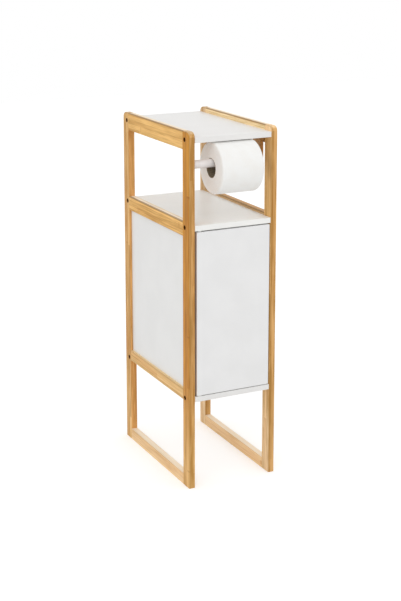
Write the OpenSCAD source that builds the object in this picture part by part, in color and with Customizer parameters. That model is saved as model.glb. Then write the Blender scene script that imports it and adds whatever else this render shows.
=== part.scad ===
// Narrow bathroom cabinet for toilet rolls: two bamboo side frames, three white
// boards, a pivoting door with a push latch, and a roll arm in the open bay.
// +X is right seen from the front, the front faces -Y, +Z is up.
// The origin is on the floor, under the middle of the box round the whole object.

/* [Overall] */
// Width across the outer faces of the two side frames
cabinet_w = 215; // [185:1:400]
// Depth of the side frames, front to back
cabinet_d = 350; // [280:1:500]
// Clear height under the bottom board
leg_h = 200; // [100:1:300]
// Height between the bottom board and the shelf board
door_bay_h = 373; // [250:1:500]
// Height between the shelf board and the top board
roll_bay_h = 179; // [150:1:300]
// How far the side frames stand above the top board
rim_h = 12; // [10:1:14]

/* [Side frames] */
// Thickness of every frame member, across the cabinet
frame_t = 15; // [13:1:20]
// Width of the posts, front to back
post_w = 30; // [27:1:45]
// Height of the top rail
top_rail_h = 40; // [36:1:60]
// Height of the rail beside the shelf board
shelf_rail_h = 32; // [28:1:50]
// How far the shelf rail stands above the shelf board
shelf_rail_lift = 6; // [2:1:9]
// Height of the rail beside the bottom board
base_rail_h = 25; // [24:1:45]
// Height of the rail on the floor
foot_rail_h = 26; // [16:1:45]
// Radius of the frame's top corners, seen from the side
corner_r = 12; // [6:1:20]
// Radius along the frame's outer edges
edge_r = 2.5; // [1:0.5:4]

/* [Dowels] */
// Diameter of the dowels that join posts and rails
dowel_d = 6; // [4:0.5:7]
// Length of the dowels
dowel_len = 30; // [20:1:34]
// Height of a dowel above or below the middle of the nearest board
dowel_offset = 8.5; // [8.5:0.1:10]

/* [Boards and panels] */
// Thickness of the top, shelf and bottom boards
board_t = 12; // [11:0.5:15]
// How far the boards' front edges lie behind the posts' front faces
board_front_setback = 0.5; // [0:0.1:1]
// How far the shelf and bottom boards stop short of the posts' rear faces
board_rear_setback = 12; // [10:0.5:16]
// Thickness of the side panels
side_panel_t = 3; // [2:0.5:5]
// Depth of the groove that holds a side panel
groove_depth = 5; // [3:0.5:6]
// Clearance round a side panel in its groove
groove_gap = 0.1; // [0.05:0.05:0.3]
// Thickness of the back panel
back_panel_t = 3; // [2:0.5:6]
// How far the back panel's top edge lies below the face of the shelf board
back_panel_drop = 1; // [0:0.5:3]
// Gap between the back panel and a post
back_panel_gap = 0.3; // [0.2:0.1:1]

/* [Frame screws and nails] */
// Diameter of a frame screw's shank
screw_d = 5; // [4:0.5:6]
// Length of a frame screw under its head
screw_len = 40; // [30:1:50]
// Diameter of a frame screw's head
screw_head_d = 8.6; // [8:0.2:10]
// Height of a frame screw's head
screw_head_h = 3; // [2.5:0.5:4]
// How deep a frame screw's head sits below the wood
screw_sink = 0.5; // [0.5:0.1:2]
// Width across the flats of the socket in a frame screw
screw_socket = 4; // [3:0.5:5]
// Distance from a frame screw to the post's outer face
screw_inset = 21; // [19:0.5:23]
// Radial clearance round a screw's head and in the wood it passes through
screw_gap = 0.2; // [0.1:0.1:0.4]
// Diameter of the nails in the back panel
nail_d = 1.6; // [1.2:0.1:2]
// Length of the nails in the back panel
nail_len = 16; // [12:1:20]
// Diameter of a nail's head
nail_head_d = 4; // [3:0.5:6]
// Thickness of a nail's head
nail_head_t = 0.8; // [0.5:0.1:1.5]
// Distance between neighbouring nails
nail_pitch = 45; // [30:1:50]

/* [Door] */
// Thickness of the door
door_t = 12; // [11:0.5:16]
// Gap beside the door on its pivot side
door_gap_pivot = 4.5; // [4:0.1:6]
// Gap beside the door on its latch side
door_gap_latch = 2.5; // [1.5:0.1:4]
// Gap above the door
door_gap_top = 2.75; // [2.5:0.05:4]
// Gap under the door
door_gap_bottom = 1.75; // [1.6:0.05:3]
// Distance from the door's edge to its pivot
pivot_inset = 8; // [7:0.5:9]
// Diameter of the pivot pins
pivot_pin_d = 5; // [4:0.5:5.5]
// Length of a pivot pin inside the door
pivot_pin_in_door = 14; // [10:1:25]
// Radial clearance of a pivot pin in its bush
pivot_gap = 0.05; // [0.03:0.01:0.1]
// Outer diameter of the pivot bushes
bush_d = 8; // [7.5:0.1:8.5]
// Depth of a pivot bush in its board
bush_depth = 8; // [6:0.5:9]
// Diameter of a bush's flange
bush_flange_d = 10.5; // [9.5:0.1:10.8]
// Thickness of a bush's flange
bush_flange_t = 1.4; // [0.8:0.1:1.5]

/* [Push latch] */
// Distance from the latch to the post on the latch side
latch_inset = 22.5; // [20:0.5:40]
// Distance from the shelf board down to the latch's axis
latch_drop = 10; // [9.5:0.5:14]
// Width of the latch housing
latch_w = 14; // [12:0.5:16]
// Length of the latch housing
latch_len = 46; // [42:1:60]
// How deep the housing hangs below the plunger's axis
latch_below = 6.5; // [5.5:0.5:9]
// Thickness of the latch's screw ears
latch_ear_t = 3; // [2:0.5:4]
// Length of a screw ear beyond the housing's side
latch_ear_len = 11; // [9:0.5:12]
// Width of a screw ear, front to back
latch_ear_w = 14; // [10:1:20]
// Diameter of the plunger
plunger_d = 8; // [7:0.5:9]
// Radial clearance of the plunger in its bore
plunger_gap = 0.05; // [0.03:0.01:0.1]
// How far the plunger and its magnet stand out of the housing
plunger_out = 8; // [7:0.5:12]
// Length of the plunger inside the housing
plunger_in = 20; // [15:1:22]
// Thickness of the magnet at the plunger's tip
magnet_t = 3; // [2:0.5:4]
// Room behind the plunger for its spring
spring_room = 12; // [8:0.5:14]
// Wire diameter of the latch spring
spring_wire_d = 0.8; // [0.6:0.1:1]
// Outer diameter of the latch spring
spring_d = 6.6; // [5.5:0.1:6.8]
// Number of turns in the latch spring
spring_turns = 7; // [4:1:8]
// Gap between the magnet and the strike plate with the door shut
latch_gap = 0.3; // [0.2:0.1:1]
// Thickness of the strike plate
strike_t = 1.5; // [1:0.1:2]
// Width of the strike plate
strike_w = 26; // [24:1:34]
// Height of the strike plate
strike_h = 12; // [10:0.5:14]
// Distance between the two screws of the strike plate
strike_pitch = 18; // [16:0.5:20]

/* [Small screws] */
// Diameter of a small screw's shank
small_screw_d = 2.5; // [2:0.1:3]
// Diameter of a small screw's head
small_head_d = 5; // [4.5:0.1:5.5]
// Height of a small screw's head
small_head_h = 1.4; // [1:0.1:1.5]
// Length of a small screw in the wood
small_screw_len = 8; // [6:0.5:9]

/* [Roll arm and roll] */
// Diameter of the arm that carries the roll
arm_d = 18.4; // [14:0.2:24]
// Length of the arm
arm_len = 120; // [90:1:140]
// Radius round the arm's free end
arm_end_r = 4; // [1:0.5:6]
// Diameter of the stud that holds the arm
stud_d = 6; // [5:0.5:8]
// Depth of the stud in the post
stud_in_post = 11; // [8:0.5:12]
// Depth of the stud in the arm
stud_in_arm = 25; // [15:1:40]
// Diameter of the roll
roll_d = 115; // [90:1:120]
// Width of the roll
roll_w = 100; // [90:1:110]
// Distance from the left post to the roll
roll_from_post = 45.5; // [20:0.5:50]
// Inner diameter of the cardboard core
core_bore_d = 41.4; // [36:0.2:46]
// Wall of the cardboard core
core_wall = 0.9; // [0.6:0.1:1.5]
// Radius round the roll's outer edges
roll_edge_r = 4; // [1:0.5:5]
// Clearance between a full roll and the board above it
roll_top_gap = 1.7; // [1:0.1:10]
// Gap between the arm and the core that hangs on it
hang_gap = 0.3; // [0.1:0.05:0.6]
// Thickness of the block that stops the roll at the right
stop_t = 8; // [5:0.5:9]
// Width of the stop block, front to back
stop_w = 36; // [24:1:38]
// Height of the stop block under the top board
stop_h = 60; // [40:1:80]
// Gap between the right front post and the stop block
stop_from_post = 6; // [3:0.5:8]
// Radius round the stop block's lower corners
stop_corner_r = 6; // [2:0.5:10]
// Diameter of the stop block's dowels
stop_dowel_d = 4; // [3:0.5:4.5]
// Depth of the stop block's dowels in the top board
stop_dowel_in_board = 7; // [5:0.5:8]
// Depth of the stop block's dowels in the block
stop_dowel_in_block = 12; // [8:1:20]

/* [Hidden] */
$fn = 64;

// Side of the cabinet: left or right
LEFT = -1;
RIGHT = 1;
// Sinks a cut a little past the face it opens
cut = 1;

// Depth: the roll stands out in front of the posts
roll_reach = max(0, roll_d / 2 - post_w / 2);
rear_y = (cabinet_d + roll_reach) / 2;
front_y = rear_y - cabinet_d;
rail_len = cabinet_d - 2 * post_w;
rail_mid_y = front_y + cabinet_d / 2;
back_panel_y = rear_y - board_rear_setback;

// Width
inner_w = cabinet_w - 2 * frame_t;
frame_mid_x = (cabinet_w - frame_t) / 2;

// Heights
bottom_z = leg_h;
door_bay_z = bottom_z + board_t;
shelf_z = door_bay_z + door_bay_h;
roll_bay_z = shelf_z + board_t;
top_z = roll_bay_z + roll_bay_h;
cabinet_h = top_z + board_t + rim_h;
board_mids = [bottom_z + board_t / 2, shelf_z + board_t / 2, top_z + board_t / 2];
shelf_rail_z = roll_bay_z + shelf_rail_lift - shelf_rail_h;
top_rail_z = cabinet_h - top_rail_h;
base_rail_top_z = bottom_z + base_rail_h;
dowel_rows = [
  foot_rail_h / 2,
  board_mids[0] + dowel_offset,
  board_mids[1] - dowel_offset,
  board_mids[2] - dowel_offset,
  board_mids[2] + dowel_offset
];

// Frame screws, measured inward from the frame's outer face
counterbore = screw_sink + screw_head_h;
screw_tip_h = screw_d / 2;

// Door
door_x0 = -inner_w / 2 + door_gap_pivot;
door_x1 = inner_w / 2 - door_gap_latch;
door_z0 = door_bay_z + door_gap_bottom;
door_z1 = shelf_z - door_gap_top;
door_back_y = front_y + door_t;
pivot_x = door_x0 + pivot_inset;
pivot_y = front_y + door_t / 2;
pivot_end_gap = 0.5;
bush_floor = 1;

// Latch
latch_x = inner_w / 2 - latch_inset;
latch_z = shelf_z - latch_drop;
magnet_y = door_back_y + strike_t + latch_gap;
housing_y = magnet_y + plunger_out;
ear_mid_y = housing_y + latch_len / 2;
ear_screw_x = (latch_w + latch_ear_len) / 2;
bore_len = plunger_in + spring_room;
spring_end_gap = 0.2;
spring_len = spring_room - 2 * spring_end_gap;
spring_steps = 16;
wire_sides = 8;

// Arm and roll
arm_y = front_y + post_w / 2;
roll_z = top_z - roll_top_gap - roll_d / 2;
arm_z = roll_z + core_bore_d / 2 - arm_d / 2 - hang_gap;
arm_x0 = -inner_w / 2;
roll_x0 = arm_x0 + roll_from_post;
stop_y0 = front_y + post_w + stop_from_post;

// Section of a bar with two rounded corners, u across from the middle, v from 0 to w
module rounded_bar_section(t, w, r) {
  translate([-t / 2, 0]) square([t, w - r]);
  translate([-t / 2 + r, 0]) square([t - 2 * r, w]);
  for (s = [-1, 1]) translate([s * (t / 2 - r), w - r]) circle(r);
}

// Places a frame member that is drawn at x = 0, on the left or right frame
module on_frame(side) {
  translate([side * frame_mid_x, 0, 0]) children();
}

// Turns a post that is drawn from y = 0, its inner face, to y = post_w, its outer face
module to_front() {
  translate([0, front_y + post_w, 0]) mirror([0, 1, 0]) children();
}

module to_rear() {
  translate([0, rear_y - post_w, 0]) children();
}

module post_body() {
  straight_h = cabinet_h - corner_r;
  linear_extrude(straight_h) rounded_bar_section(frame_t, post_w, edge_r);
  // The block between the rail and the round corner, its long edges rounded on top
  translate([0, post_w - corner_r, straight_h]) rotate([90, 0, 0])
    linear_extrude(post_w - corner_r) rounded_bar_section(frame_t, corner_r, edge_r);
  // The round corner
  translate([0, post_w - corner_r, straight_h]) rotate([90, 0, 90])
    rotate_extrude(angle = 90) rotate(-90) rounded_bar_section(frame_t, corner_r, edge_r);
}

module screw_hole(side) {
  translate([side * frame_t / 2, 0, 0]) rotate([0, -side * 90, 0]) {
    translate([0, 0, -cut]) cylinder(d = screw_d + 2 * screw_gap, h = frame_t + 2 * cut);
    translate([0, 0, -cut]) cylinder(d = screw_head_d + 2 * screw_gap, h = counterbore + cut);
  }
}

// Groove in a post's inner face
module post_groove() {
  z0 = base_rail_top_z - groove_depth - groove_gap;
  z1 = shelf_rail_z + groove_depth + groove_gap;
  translate([-side_panel_t / 2 - groove_gap, -cut, z0])
    cube([side_panel_t + 2 * groove_gap, groove_depth + groove_gap + cut, z1 - z0]);
}

module post(side) {
  color("peru") difference() {
    post_body();
    for (z = board_mids) translate([0, post_w - screw_inset, z]) screw_hole(side);
    for (z = dowel_rows) translate([0, -cut, z]) rotate([-90, 0, 0])
      cylinder(d = dowel_d, h = dowel_len / 2 + cut);
    post_groove();
  }
}

module front_post(side) {
  difference() {
    on_frame(side) to_front() post(side);
    if (side == LEFT) stud_solid();
  }
}

module rear_post(side) {
  on_frame(side) to_rear() post(side);
}

// A rail along Y, z0 at its underside, with a dowel hole at height row in both ends
module rail(side, z0, h, row, groove_top, groove_bottom) {
  color("burlywood") on_frame(side) difference() {
    translate([-frame_t / 2, front_y + post_w, z0]) cube([frame_t, rail_len, h]);
    rail_dowel_holes([row]);
    if (groove_top) rail_groove(z0 + h - groove_depth - groove_gap, z0 + h + cut);
    if (groove_bottom) rail_groove(z0 - cut, z0 + groove_depth + groove_gap);
  }
}

module rail_dowel_holes(rows) {
  for (z = rows, end = [-1, 1]) translate([0, rail_mid_y + end * (rail_len / 2 + cut), z])
    rotate([end * 90, 0, 0]) cylinder(d = dowel_d, h = dowel_len / 2 + cut);
}

module rail_groove(z0, z1) {
  translate([-side_panel_t / 2 - groove_gap, front_y + post_w - cut, z0])
    cube([side_panel_t + 2 * groove_gap, rail_len + 2 * cut, z1 - z0]);
}

// The top rail's upper edges are rounded like the posts' outer edges
module top_rail(side) {
  color("burlywood") on_frame(side) difference() {
    translate([0, front_y + post_w + rail_len, top_rail_z]) rotate([90, 0, 0])
      linear_extrude(rail_len) rounded_bar_section(frame_t, top_rail_h, edge_r);
    rail_dowel_holes([dowel_rows[3], dowel_rows[4]]);
  }
}

module shelf_rail(side) {
  rail(side, shelf_rail_z, shelf_rail_h, dowel_rows[2], false, true);
}

module base_rail(side) {
  rail(side, bottom_z, base_rail_h, dowel_rows[1], true, false);
}

module foot_rail(side) {
  rail(side, 0, foot_rail_h, dowel_rows[0], false, false);
}

module side_panel(side) {
  color("whitesmoke") on_frame(side)
    translate([-side_panel_t / 2, front_y + post_w - groove_depth, base_rail_top_z - groove_depth])
      cube([side_panel_t, rail_len + 2 * groove_depth,
        shelf_rail_z - base_rail_top_z + 2 * groove_depth]);
}

module frame_dowels(side) {
  color("tan") on_frame(side) for (z = dowel_rows, end = [-1, 1])
    translate([0, rail_mid_y + end * rail_len / 2 - dowel_len / 2, z])
      rotate([-90, 0, 0]) cylinder(d = dowel_d, h = dowel_len);
}

// Every frame screw of one side, in front, z = 0 at the underside of its head
module each_frame_screw(side) {
  for (z = board_mids, y = [front_y + screw_inset, rear_y - screw_inset])
    translate([side * (cabinet_w / 2 - counterbore), y, z]) rotate([0, -side * 90, 0]) children();
}

module frame_screws(side) {
  color("dimgray") each_frame_screw(side) difference() {
    union() {
      translate([0, 0, -screw_head_h]) cylinder(d = screw_head_d, h = screw_head_h);
      cylinder(d = screw_d, h = screw_len - screw_tip_h);
      translate([0, 0, screw_len - screw_tip_h])
        cylinder(d1 = screw_d, d2 = screw_d / 4, h = screw_tip_h);
    }
    translate([0, 0, -screw_head_h - cut])
      cylinder(d = screw_socket / cos(30), h = screw_head_h * 0.7 + cut, $fn = 6);
  }
}

// What a frame screw takes out of a board
module board_screw_holes() {
  for (side = [LEFT, RIGHT]) each_frame_screw(side) cylinder(d = screw_d, h = screw_len);
}

module board(z0, rear_setback) {
  translate([-inner_w / 2, front_y + board_front_setback, z0])
    cube([inner_w, cabinet_d - board_front_setback - rear_setback, board_t]);
}

module top_board() {
  color("white") difference() {
    board(top_z, 0);
    board_screw_holes();
    stop_dowels();
  }
}

module shelf_board() {
  color("white") difference() {
    board(shelf_z, board_rear_setback);
    board_screw_holes();
    nail_shanks();
    bush_hole(shelf_z, 1);
    latch_screw_shanks();
  }
}

module bottom_board() {
  color("white") difference() {
    board(bottom_z, board_rear_setback);
    board_screw_holes();
    nail_shanks();
    bush_hole(door_bay_z, -1);
  }
}

module back_panel() {
  color("whitesmoke") difference() {
    translate([-inner_w / 2 + back_panel_gap, back_panel_y, bottom_z + back_panel_drop])
      cube([inner_w - 2 * back_panel_gap, back_panel_t,
        roll_bay_z - bottom_z - 2 * back_panel_drop]);
    nail_shanks();
  }
}

module each_nail() {
  for (i = [-1, 0, 1], z = [board_mids[0], board_mids[1]])
    translate([i * nail_pitch, back_panel_y + back_panel_t, z]) rotate([90, 0, 0]) children();
}

module nail_shanks() {
  each_nail() translate([0, 0, -cut]) cylinder(d = nail_d, h = nail_len + cut, $fn = 24);
}

module back_panel_nails() {
  color("silver") each_nail() {
    cylinder(d = nail_d, h = nail_len, $fn = 24);
    translate([0, 0, -nail_head_t]) cylinder(d = nail_head_d, h = nail_head_t, $fn = 32);
  }
}

// Places a pivot fitting at a board's face, with +z running into the board
module at_pivot(face_z, into) {
  translate([pivot_x, pivot_y, face_z]) rotate([into > 0 ? 0 : 180, 0, 0]) children();
}

module bush_hole(face_z, into) {
  at_pivot(face_z, into) translate([0, 0, -cut]) cylinder(d = bush_d, h = bush_depth + cut);
}

module pivot_bush(face_z, into) {
  color("gainsboro") at_pivot(face_z, into) difference() {
    union() {
      cylinder(d = bush_d, h = bush_depth);
      translate([0, 0, -bush_flange_t]) cylinder(d = bush_flange_d, h = bush_flange_t);
    }
    translate([0, 0, -bush_flange_t - cut])
      cylinder(d = pivot_pin_d + 2 * pivot_gap,
        h = bush_flange_t + cut + bush_depth - bush_floor);
  }
}

module upper_pivot_bush() {
  pivot_bush(shelf_z, 1);
}

module lower_pivot_bush() {
  pivot_bush(door_bay_z, -1);
}

// A pivot pin from inside the door to just short of its bush's floor
module pivot_pin(face_z, into, door_gap) {
  color("silver") at_pivot(face_z, into)
    translate([0, 0, -door_gap - pivot_pin_in_door])
      cylinder(d = pivot_pin_d,
        h = pivot_pin_in_door + door_gap + bush_depth - bush_floor - pivot_end_gap);
}

module upper_pivot_pin() {
  pivot_pin(shelf_z, 1, door_gap_top);
}

module lower_pivot_pin() {
  pivot_pin(door_bay_z, -1, door_gap_bottom);
}

module door_panel() {
  color("white") difference() {
    translate([door_x0, front_y, door_z0]) cube([door_x1 - door_x0, door_t, door_z1 - door_z0]);
    for (z = [door_z0 - cut, door_z1 - pivot_pin_in_door]) translate([pivot_x, pivot_y, z])
      cylinder(d = pivot_pin_d, h = pivot_pin_in_door + cut);
    each_strike_screw() cylinder(d = small_screw_d, h = small_screw_len, $fn = 32);
  }
}

// Both screws of the strike plate, z = 0 at the plate's outer face, running into the door
module each_strike_screw() {
  for (s = [-1, 1]) translate([latch_x + s * strike_pitch / 2, door_back_y + strike_t, latch_z])
    rotate([90, 0, 0]) children();
}

module countersunk_screw() {
  cylinder(d1 = small_head_d, d2 = small_screw_d, h = small_head_h, $fn = 32);
  cylinder(d = small_screw_d, h = small_screw_len, $fn = 32);
}

module strike_screws() {
  color("silver") each_strike_screw() difference() {
    countersunk_screw();
    cross_recess(small_head_d);
  }
}

module cross_recess(head_d) {
  for (a = [0, 90]) rotate(a) translate([-head_d * 0.3, -head_d * 0.06, -cut])
    cube([head_d * 0.6, head_d * 0.12, cut + small_head_h / 2]);
}

module strike_plate() {
  color("lightgray") difference() {
    translate([latch_x - strike_w / 2, door_back_y, latch_z - strike_h / 2])
      cube([strike_w, strike_t, strike_h]);
    each_strike_screw() countersunk_screw();
  }
}

module latch_bore() {
  translate([latch_x, housing_y - cut, latch_z]) rotate([-90, 0, 0])
    cylinder(d = plunger_d + 2 * plunger_gap, h = bore_len + cut);
}

// Both screws of the latch, z = 0 at the underside of an ear, running up into the shelf
module each_latch_screw() {
  for (s = [-1, 1]) translate([latch_x + s * ear_screw_x, ear_mid_y, shelf_z - latch_ear_t])
    children();
}

module latch_housing() {
  color("gainsboro") difference() {
    union() {
      translate([latch_x - latch_w / 2, housing_y, latch_z - latch_below])
        cube([latch_w, latch_len, latch_drop + latch_below]);
      translate([latch_x - latch_w / 2 - latch_ear_len, ear_mid_y - latch_ear_w / 2,
        shelf_z - latch_ear_t])
        cube([latch_w + 2 * latch_ear_len, latch_ear_w, latch_ear_t]);
    }
    latch_bore();
    each_latch_screw() translate([0, 0, -cut])
      cylinder(d = small_screw_d, h = latch_ear_t + 2 * cut, $fn = 32);
  }
}

module latch_screw_shanks() {
  each_latch_screw() cylinder(d = small_screw_d, h = latch_ear_t + small_screw_len, $fn = 32);
}

module latch_screws() {
  color("silver") {
    latch_screw_shanks();
    each_latch_screw() difference() {
      translate([0, 0, -small_head_h]) cylinder(d = small_head_d, h = small_head_h, $fn = 32);
      translate([0, 0, -small_head_h]) cross_recess(small_head_d);
    }
  }
}

module latch_plunger() {
  color("white") translate([latch_x, magnet_y + magnet_t, latch_z]) rotate([-90, 0, 0])
    cylinder(d = plunger_d, h = plunger_out - magnet_t + plunger_in);
}

module latch_magnet() {
  color("dimgray") translate([latch_x, magnet_y, latch_z]) rotate([-90, 0, 0])
    cylinder(d = plunger_d, h = magnet_t);
}

// A round wire wound along +y, one unbroken tube
module helix(len, outer_d, wire_d, turns) {
  r = outer_d / 2 - wire_d / 2;
  rise = len - wire_d;
  rings = turns * spring_steps;
  points = [
    for (i = [0 : rings], k = [0 : wire_sides - 1])
      let (
        a = 360 * i / spring_steps,
        b = 360 * k / wire_sides,
        out = r + wire_d / 2 * cos(b)
      )
      [out * cos(a), wire_d / 2 + rise * i / rings + wire_d / 2 * sin(b), out * sin(a)]
  ];
  sides = [
    for (i = [0 : rings - 1], k = [0 : wire_sides - 1])
      let (
        next = (k + 1) % wire_sides,
        near = i * wire_sides,
        far = near + wire_sides
      )
      each [[near + k, far + k, far + next], [near + k, far + next, near + next]]
  ];
  first_cap = [for (k = [1 : wire_sides - 2]) [0, k, k + 1]];
  last = rings * wire_sides;
  last_cap = [for (k = [1 : wire_sides - 2]) [last, last + k + 1, last + k]];
  polyhedron(points, concat(sides, first_cap, last_cap));
}

module latch_spring() {
  color("silver") translate([latch_x, housing_y + plunger_in + spring_end_gap, latch_z])
    helix(spring_len, spring_d, spring_wire_d, spring_turns);
}

module stud_solid() {
  translate([arm_x0 - stud_in_post, arm_y, arm_z]) rotate([0, 90, 0])
    cylinder(d = stud_d, h = stud_in_post + stud_in_arm);
}

module arm_stud() {
  color("silver") stud_solid();
}

module roll_arm() {
  color("whitesmoke") difference() {
    translate([arm_x0, arm_y, arm_z]) rotate([0, 90, 0]) {
      cylinder(d = arm_d, h = arm_len - arm_end_r);
      translate([0, 0, arm_len - arm_end_r]) cylinder(d = arm_d - 2 * arm_end_r, h = arm_end_r);
      translate([0, 0, arm_len - arm_end_r]) rotate_extrude()
        translate([arm_d / 2 - arm_end_r, 0]) intersection() {
          circle(arm_end_r);
          square(arm_end_r);
        }
    }
    stud_solid();
  }
}

// The block that hangs from the top board and keeps the roll on its arm
module roll_stop() {
  color("tan") difference() {
    translate([inner_w / 2 - stop_t, stop_y0, top_z - stop_h]) rotate([90, 0, 90])
      linear_extrude(stop_t) {
        translate([0, stop_corner_r]) square([stop_w, stop_h - stop_corner_r]);
        translate([stop_corner_r, 0]) square([stop_w - 2 * stop_corner_r, stop_h]);
        for (u = [stop_corner_r, stop_w - stop_corner_r])
          translate([u, stop_corner_r]) circle(stop_corner_r);
      }
    stop_dowels();
  }
}

module stop_dowels() {
  for (share = [1 / 4, 3 / 4])
    translate([(inner_w - stop_t) / 2, stop_y0 + share * stop_w, top_z - stop_dowel_in_block])
      cylinder(d = stop_dowel_d, h = stop_dowel_in_block + stop_dowel_in_board);
}

module roll_stop_dowels() {
  color("tan") stop_dowels();
}

// Places a roll part that is drawn along +z from the roll's left face
module on_roll() {
  translate([roll_x0, arm_y, roll_z]) rotate([0, 90, 0]) children();
}

module roll_core() {
  color("tan") on_roll() difference() {
    cylinder(d = core_bore_d + 2 * core_wall, h = roll_w);
    translate([0, 0, -cut]) cylinder(d = core_bore_d, h = roll_w + 2 * cut);
  }
}

module roll_paper() {
  inner_r = core_bore_d / 2 + core_wall;
  outer_r = roll_d / 2;
  color("white") on_roll() rotate_extrude($fn = 128) {
    translate([inner_r, 0]) square([outer_r - roll_edge_r - inner_r, roll_w]);
    translate([inner_r, roll_edge_r]) square([outer_r - inner_r, roll_w - 2 * roll_edge_r]);
    for (v = [roll_edge_r, roll_w - roll_edge_r])
      translate([outer_r - roll_edge_r, v]) circle(roll_edge_r);
  }
}

front_post(LEFT);  // left_front_post
rear_post(LEFT);  // left_rear_post
top_rail(LEFT);  // left_top_rail
shelf_rail(LEFT);  // left_shelf_rail
base_rail(LEFT);  // left_base_rail
foot_rail(LEFT);  // left_foot_rail
side_panel(LEFT);  // left_side_panel
frame_dowels(LEFT);  // left_frame_dowels
front_post(RIGHT);  // right_front_post
rear_post(RIGHT);  // right_rear_post
top_rail(RIGHT);  // right_top_rail
shelf_rail(RIGHT);  // right_shelf_rail
base_rail(RIGHT);  // right_base_rail
foot_rail(RIGHT);  // right_foot_rail
side_panel(RIGHT);  // right_side_panel
frame_dowels(RIGHT);  // right_frame_dowels
top_board();
shelf_board();
bottom_board();
back_panel();
back_panel_nails();
frame_screws(LEFT);  // left_frame_screws
frame_screws(RIGHT);  // right_frame_screws
door_panel();
upper_pivot_pin();
lower_pivot_pin();
upper_pivot_bush();
lower_pivot_bush();
latch_housing();
latch_screws();
latch_plunger();
latch_magnet();
latch_spring();
strike_plate();
strike_screws();
roll_arm();
arm_stud();
roll_stop();
roll_stop_dowels();
roll_core();
roll_paper();
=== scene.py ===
"""The looks of a narrow bathroom cabinet for toilet rolls.

Two bamboo side frames carry three white boards, a pivoting door with a push latch, an arm with a toilet roll,
and a block beside the roll. Lengths are in metres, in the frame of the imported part: +X is right seen from the
front, the front faces -Y, and +Z is up.
"""

import logging
import math
import random
from abc import ABC, abstractmethod
from collections.abc import Callable, Iterator
from contextlib import contextmanager
from dataclasses import dataclass, field
from enum import Enum

import bmesh
import bpy
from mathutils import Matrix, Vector


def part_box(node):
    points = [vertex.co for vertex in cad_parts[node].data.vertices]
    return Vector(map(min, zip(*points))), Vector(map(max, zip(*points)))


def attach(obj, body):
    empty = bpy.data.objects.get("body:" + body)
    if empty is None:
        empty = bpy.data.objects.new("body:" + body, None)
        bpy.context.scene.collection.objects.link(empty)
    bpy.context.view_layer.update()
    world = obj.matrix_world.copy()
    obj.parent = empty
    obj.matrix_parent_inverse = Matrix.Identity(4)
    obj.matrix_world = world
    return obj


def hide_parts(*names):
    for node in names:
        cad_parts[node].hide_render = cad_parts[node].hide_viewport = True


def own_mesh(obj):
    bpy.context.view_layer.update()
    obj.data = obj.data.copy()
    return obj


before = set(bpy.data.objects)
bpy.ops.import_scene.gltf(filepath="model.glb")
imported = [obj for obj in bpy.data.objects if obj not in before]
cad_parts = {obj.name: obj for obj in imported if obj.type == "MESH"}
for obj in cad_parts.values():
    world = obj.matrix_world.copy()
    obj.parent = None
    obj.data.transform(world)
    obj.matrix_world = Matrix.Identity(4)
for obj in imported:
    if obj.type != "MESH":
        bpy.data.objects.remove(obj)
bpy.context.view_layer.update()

MM = 0.001

log = logging.getLogger("cabinet")

Colour = tuple[float, float, float]
Point = tuple[float, float, float]
Object = bpy.types.Object
Socket = bpy.types.NodeSocket
Value = Socket | float


def srgb(*levels: int) -> Colour:
    """Turn a colour as a screen shows it into the linear numbers that a shader takes.

    Args:
        levels: Red, green and blue, each from 0 to 255.

    Returns:
        The three linear values, from 0 to 1.
    """
    shares = [level / 255 for level in levels]
    return tuple(share / 12.92 if share <= 0.04045 else ((share + 0.055) / 1.055) ** 2.4 for share in shares)


class Side(Enum):
    """The two side frames, by the word that starts their nodes' names."""

    LEFT = "left"
    RIGHT = "right"


class Grain(Enum):
    """The direction in which a wooden member was cut."""

    ALONG_DEPTH = "along_depth"
    UPRIGHT = "upright"


class Member(Enum):
    """The wooden members of a side frame, by the words that end their nodes' names."""

    FRONT_POST = "front_post"
    REAR_POST = "rear_post"
    TOP_RAIL = "top_rail"
    SHELF_RAIL = "shelf_rail"
    BASE_RAIL = "base_rail"
    FOOT_RAIL = "foot_rail"

    @property
    def grain(self) -> Grain:
        """Give the member's grain: up the posts, and along the depth in the rails."""
        return Grain.UPRIGHT if self.value.endswith("post") else Grain.ALONG_DEPTH

    @property
    def edge_shade(self) -> float:
        """Say how dark the painted shade is along the member's routed edges."""
        rails = {"top_rail": 0.85, "shelf_rail": 0.8, "base_rail": 0.25, "foot_rail": 0.08}
        return rails.get(self.value, 0.3)

    @property
    def figure(self) -> float:
        """Say how strong the member's streaks are, against the usual."""
        return {"top_rail": 0.9, "base_rail": 0.6, "foot_rail": 0.55}.get(self.value, 1.2)


# Shader trees


class Shading(Enum):
    """What a shader tree is for, by the types of its shader and of its output."""

    SURFACE = ("BsdfPrincipled", "OutputMaterial")
    ROOM = ("Background", "OutputWorld")


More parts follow.
